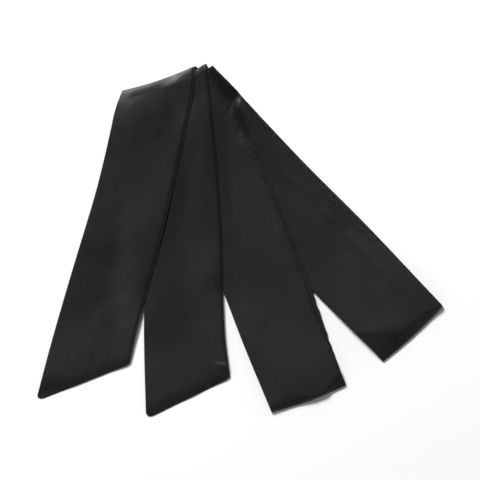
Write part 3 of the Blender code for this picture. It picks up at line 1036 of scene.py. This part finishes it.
@dataclass(frozen=True)
class SatinFinish:
    """Near-black satin: long fine floats, soft rumples, a pressed seam and a low sheen.

    Lengths are in metres.  A span is where a soft change starts and ends, and what follows it says
    what there is at those two places.
    """

    # The colour below carries painted shade: darker near the top of the fan, along the seam and in the dips
    # between the floats
    colour: tuple = (0.0058, 0.0058, 0.0061)
    dust: tuple = (0.020, 0.020, 0.020)
    specular: float = 0.27
    anisotropy: float = 0.38
    sheen: float = 0.05
    sheen_roughness: float = 0.4
    top_of_fan: tuple = (-0.040, 0.172, 0.0)
    tight_span: tuple = (0.04, 0.17)     # distances from the top of the fan, where the satin is drawn tight
    roughness: tuple = (0.395, 0.452)
    # Painted shade: the colour is darkened near the top of the fan and made a little lighter far from it
    painted_shade_span: tuple = (0.02, 0.26)     # distances from the top of the fan
    painted_shades: tuple = (0.62, 1.12)         # how much of the colour shows
    float_length: float = 0.0011
    float_width: float = 0.00022
    float_shift: float = 0.4             # of a float's length, by which one row in each cycle is moved
    float_cycle: int = 3
    float_relief: float = 0.000004
    gap_share: float = 0.22              # of a float's width, for the dip beside it
    # painted shade in the dip beside each float: how much of the colour shows there
    gap_painted_shade: float = 0.72
    wide_rumple: Noise = Noise(size=0.045, detail=1.0, stretch=1.5)
    wide_relief: float = 0.0011
    fine_rumple: Noise = Noise(size=0.013, detail=2.0, stretch=1.8, shift=3.7)
    fine_relief: float = 0.00022
    patches: Noise = Noise(size=0.036, detail=2.0, stretch=1.3, shift=9.1)
    patch_span: tuple = (0.3, 0.7)
    patch_tones: tuple = (0.8, 1.2)
    lint: Noise = Noise(size=0.0016, detail=0.0, shift=5.3)
    lint_span: tuple = (0.72, 0.8)
    dusty_spots: Noise = Noise(size=0.02, detail=1.0, shift=1.9)
    dusty_span: tuple = (0.5, 0.66)
    # Painted shade along the seam: the colour darkens within this reach of the seamed edge, most over its
    # core
    seam_reach: float = 0.0011
    seam_core: float = 0.4               # share of that reach that is darkest
    seam_painted_shade: float = 0.45
    wander: Noise = Noise(size=0.009, detail=1.0, shift=2.2)
    pucker_pitch: float = 0.0075
    pucker_stray: float = 9.0            # radians
    pucker_reach: float = 0.0042
    pucker_relief: float = 0.00006
    pucker_spots: Noise = Noise(size=0.022, detail=1.0, shift=6.1)
    pucker_span: tuple = (0.4, 0.65)
    pucker_shares: tuple = (0.2, 1.0)
    allowance: float = 0.0190            # from the seam to the step at the edge of its allowance
    allowance_stray: float = 0.003
    step_width: float = 0.004
    step_relief: float = 0.00004

    def threads(self) -> bpy.types.NodeTree:
        """Make the weave: rows of long floats, tied down in turn, with painted shade in the dips between
        them.

        Returns:
            The node group.
        """
        wiring, place, out = pattern_group(Pattern.THREADS, ("Height", "Tone"))
        nodes = wiring.tree.nodes
        parts = nodes.new("ShaderNodeSeparateXYZ")
        turned = nodes.new("ShaderNodeCombineXYZ")
        wiring.feed(parts.inputs[0], place)
        wiring.feed(turned.inputs["X"], parts.outputs["Y"])
        wiring.feed(turned.inputs["Y"], parts.outputs["X"])
        rows = nodes.new("ShaderNodeTexBrick")
        rows.offset = self.float_shift
        rows.offset_frequency = self.float_cycle
        gap_width = self.float_width * self.gap_share
        for name, value in (("Scale", 1.0), ("Brick Width", self.float_length),
                            ("Row Height", self.float_width), ("Mortar Size", gap_width),
                            ("Mortar Smooth", 1.0)):
            rows.inputs[name].default_value = value
        wiring.feed(rows.inputs["Vector"], turned.outputs["Vector"])
        gap = rows.outputs["Fac"]
        wiring.feed(out.inputs["Height"], wiring.maths("MULTIPLY", gap, -self.float_relief))
        # painted shade: the colour darkens in the dips between the floats
        wiring.feed(out.inputs["Tone"], wiring.fade(gap, (0.0, 1.0), (1.0, self.gap_painted_shade)))
        return wiring.tree

    def rumple(self) -> bpy.types.NodeTree:
        """Make the soft unevenness of cloth that was folded and smoothed out by hand.

        Returns:
            The node group.
        """
        wiring, place, out = pattern_group(Pattern.RUMPLE, ("Height", "Tone", "Dust"))
        wide = wiring.maths("MULTIPLY", wiring.noise(place, self.wide_rumple), self.wide_relief)
        fine = wiring.maths("MULTIPLY", wiring.noise(place, self.fine_rumple), self.fine_relief)
        wiring.feed(out.inputs["Height"], wiring.maths("ADD", wide, fine))
        patches = wiring.noise(place, self.patches)
        wiring.feed(out.inputs["Tone"], wiring.fade(patches, self.patch_span, self.patch_tones))
        lint = wiring.fade(wiring.noise(place, self.lint), self.lint_span, (0.0, 1.0))
        near = wiring.fade(wiring.noise(place, self.dusty_spots), self.dusty_span, (0.0, 1.0))
        wiring.feed(out.inputs["Dust"], wiring.maths("MULTIPLY", lint, near))
        return wiring.tree

    def seam(self) -> bpy.types.NodeTree:
        """Make the pressed seam along one edge, its puckers, the step of its allowance and the painted
        shade along its edge.

        Returns:
            The node group.
        """
        wiring, place, out = pattern_group(Pattern.SEAM, ("Height", "Shade"))
        parts = wiring.tree.nodes.new("ShaderNodeSeparateXYZ")
        wiring.feed(parts.inputs[0], place)
        inward = wiring.maths("ABSOLUTE", wiring.maths("SUBTRACT", parts.outputs["X"], STRIP * MM))
        wander = wiring.noise(place, self.wander)
        turns = wiring.maths("MULTIPLY", parts.outputs["Y"], math.tau / self.pucker_pitch)
        stray = wiring.maths("MULTIPLY", wander, self.pucker_stray)
        waves = wiring.maths("SINE", wiring.maths("ADD", turns, stray))
        relief = wiring.fade(inward, (0.0, self.pucker_reach), (self.pucker_relief, 0.0))
        spots = wiring.fade(wiring.noise(place, self.pucker_spots), self.pucker_span, self.pucker_shares)
        puckers = wiring.maths("MULTIPLY", waves, wiring.maths("MULTIPLY", relief, spots))
        strayed = wiring.maths("ADD", inward, wiring.maths("MULTIPLY", wander, self.allowance_stray))
        step_span = (self.allowance, self.allowance + self.step_width)
        step = wiring.fade(strayed, step_span, (self.step_relief, 0.0))
        wiring.feed(out.inputs["Height"], wiring.maths("ADD", puckers, step))
        # painted shade: the colour darkens towards the seamed edge
        seam_shade_span = (self.seam_reach * self.seam_core, self.seam_reach)
        wiring.feed(out.inputs["Shade"], wiring.fade(inward, seam_shade_span, (self.seam_painted_shade, 1.0)))
        return wiring.tree

    def groups(self) -> dict:
        """Make the shared node groups."""
        return {Pattern.THREADS: self.threads(), Pattern.RUMPLE: self.rumple(), Pattern.SEAM: self.seam()}

    def material(self, name: str, groups: dict) -> bpy.types.Material:
        """Make the finish as a material.

        Args:
            name: The material's name.
            groups: The shared node groups.

        Returns:
            The material.
        """
        made = bpy.data.materials.new(name)
        made.use_nodes = True
        wiring = Wiring(made.node_tree)
        nodes = made.node_tree.nodes
        shader = nodes["Principled BSDF"]
        cloth = nodes.new("ShaderNodeUVMap")
        cloth.uv_map = CLOTH_MAP
        used = {}
        for pattern, tree in groups.items():
            used[pattern] = nodes.new("ShaderNodeGroup")
            used[pattern].node_tree = tree
            wiring.feed(used[pattern].inputs["Place"], cloth.outputs["UV"])
        threads, rumple, seam = (used[pattern].outputs for pattern in Pattern)
        solid = nodes.new("ShaderNodeTexCoord")
        measured = nodes.new("ShaderNodeVectorMath")
        measured.operation = "DISTANCE"
        measured.inputs[1].default_value = self.top_of_fan
        wiring.feed(measured.inputs[0], solid.outputs["Object"])
        away = measured.outputs["Value"]
        # painted shade from the top of the fan, times the weave's painted shade in its dips, the random
        # patches and the seam's painted shade
        painted_shade_and_tone = wiring.fade(away, self.painted_shade_span, self.painted_shades)
        for tone in (threads["Tone"], rumple["Tone"], seam["Shade"]):
            painted_shade_and_tone = wiring.maths("MULTIPLY", painted_shade_and_tone, tone)
        shaded = wiring.blend("MULTIPLY", 1.0, (*self.colour, 1.0), painted_shade_and_tone)
        dusted = wiring.blend("MIX", rumple["Dust"], shaded, (*self.dust, 1.0))
        wiring.feed(shader.inputs["Base Color"], dusted)
        woven = wiring.maths("ADD", threads["Height"], rumple["Height"])
        bump = nodes.new("ShaderNodeBump")
        bump.inputs["Strength"].default_value = 1.0
        bump.inputs["Distance"].default_value = 1.0
        wiring.feed(bump.inputs["Height"], wiring.maths("ADD", woven, seam["Height"]))
        wiring.feed(shader.inputs["Normal"], bump.outputs["Normal"])
        across = nodes.new("ShaderNodeTangent")
        across.direction_type = "UV_MAP"
        across.uv_map = CLOTH_MAP
        wiring.feed(shader.inputs["Tangent"], across.outputs["Tangent"])
        wiring.feed(shader.inputs["Roughness"], wiring.fade(away, self.tight_span, self.roughness))
        for socket, value in (("Specular IOR Level", self.specular), ("Anisotropic", self.anisotropy),
                              ("Anisotropic Rotation", QUARTER_TURN), ("Sheen Weight", self.sheen),
                              ("Sheen Roughness", self.sheen_roughness)):
            shader.inputs[socket].default_value = value
        return made


@dataclass(frozen=True)
class Studio:
    """A plain pale floor, soft light from the far side and a camera straight above, in metres."""

    floor_half: float = 4.0
    floor_drop: float = 0.0001
    floor_colour: tuple = (0.86, 0.86, 0.86)
    floor_roughness: float = 0.9
    floor_specular: float = 0.1
    camera_middle: tuple = (-0.00025, 0.0)
    camera_height: float = 4.0
    field: float = 0.48        # width of the floor that the camera sees
    sensor: float = 36.0       # in millimetres
    key_place: tuple = (-1.63, 3.06, 2.9)
    key_size: tuple = (1.7, 1.3)
    key_power: float = 310.0   # in watts
    horizon: float = 1.2       # brightness of the studio's walls
    zenith: float = 0.1        # and of its ceiling
    walls_end: float = 0.75    # height on the sky, from 0 to 1, where the walls have faded into the ceiling

    def floor(self) -> None:
        """Lay the floor."""
        shape = bmesh.new()
        bmesh.ops.create_grid(shape, x_segments=1, y_segments=1, size=self.floor_half)
        bmesh.ops.translate(shape, verts=shape.verts, vec=(0.0, 0.0, -self.floor_drop))
        mesh = bpy.data.meshes.new("floor")
        shape.to_mesh(mesh)
        shape.free()
        made = bpy.data.materials.new("floor_paint")
        made.use_nodes = True
        shader = made.node_tree.nodes["Principled BSDF"]
        shader.inputs["Base Color"].default_value = (*self.floor_colour, 1.0)
        shader.inputs["Roughness"].default_value = self.floor_roughness
        shader.inputs["Specular IOR Level"].default_value = self.floor_specular
        mesh.materials.append(made)
        floor = bpy.data.objects.new("floor", mesh)
        bpy.context.scene.collection.objects.link(floor)

    def key_light(self) -> None:
        """Hang the one soft light, which faces the middle of the floor."""
        light = bpy.data.lights.new("key_light", "AREA")
        light.shape = "RECTANGLE"
        light.size, light.size_y = self.key_size
        light.energy = self.key_power
        lamp = bpy.data.objects.new("key_light", light)
        lamp.location = self.key_place
        lamp.rotation_mode = "QUATERNION"
        lamp.rotation_quaternion = lamp.location.to_track_quat("Z", "Y")
        lamp.visible_camera = False
        bpy.context.scene.collection.objects.link(lamp)

    def camera(self) -> None:
        """Set the camera straight above the sash."""
        lens = bpy.data.cameras.new("camera")
        lens.sensor_width = self.sensor
        lens.lens = self.sensor * self.camera_height / self.field
        eye = bpy.data.objects.new("camera", lens)
        eye.location = (*self.camera_middle, self.camera_height)
        bpy.context.scene.collection.objects.link(eye)
        bpy.context.scene.camera = eye

    def walls(self) -> None:
        """Surround the floor with pale walls under a dim ceiling."""
        world = bpy.data.worlds.new("studio")
        world.use_nodes = True
        tree = world.node_tree
        place = tree.nodes.new("ShaderNodeTexCoord")
        parts = tree.nodes.new("ShaderNodeSeparateXYZ")
        fade = tree.nodes.new("ShaderNodeMapRange")
        fade.interpolation_type = "SMOOTHSTEP"
        fade.inputs["From Max"].default_value = self.walls_end
        fade.inputs["To Min"].default_value = self.horizon
        fade.inputs["To Max"].default_value = self.zenith
        tree.links.new(place.outputs["Generated"], parts.inputs["Vector"])
        tree.links.new(parts.outputs["Z"], fade.inputs["Value"])
        tree.links.new(fade.outputs["Result"], tree.nodes["Background"].inputs["Strength"])
        tree.nodes["Background"].inputs["Color"].default_value = (1.0, 1.0, 1.0, 1.0)
        bpy.context.scene.world = world

    def build(self) -> None:
        """Set up the floor, the light and the camera."""
        self.floor()
        self.key_light()
        self.walls()
        bpy.context.scene.view_settings.view_transform = "Standard"
        self.camera()


def main() -> None:
    """Build the sash and the studio around it."""
    logging.basicConfig(level=logging.INFO, format="%(message)s")
    finish = SatinFinish()
    satin = finish.material("satin", finish.groups())
    for level, stretch in enumerate(STRETCHES):
        cloth = ClothPiece(level)
        piece = cloth.build()
        cloth.dress(piece, satin)
        LOG.info("%s: %d faces", stretch.piece, len(piece.data.polygons))
    Studio().build()


if __name__ == "__main__":
    main()
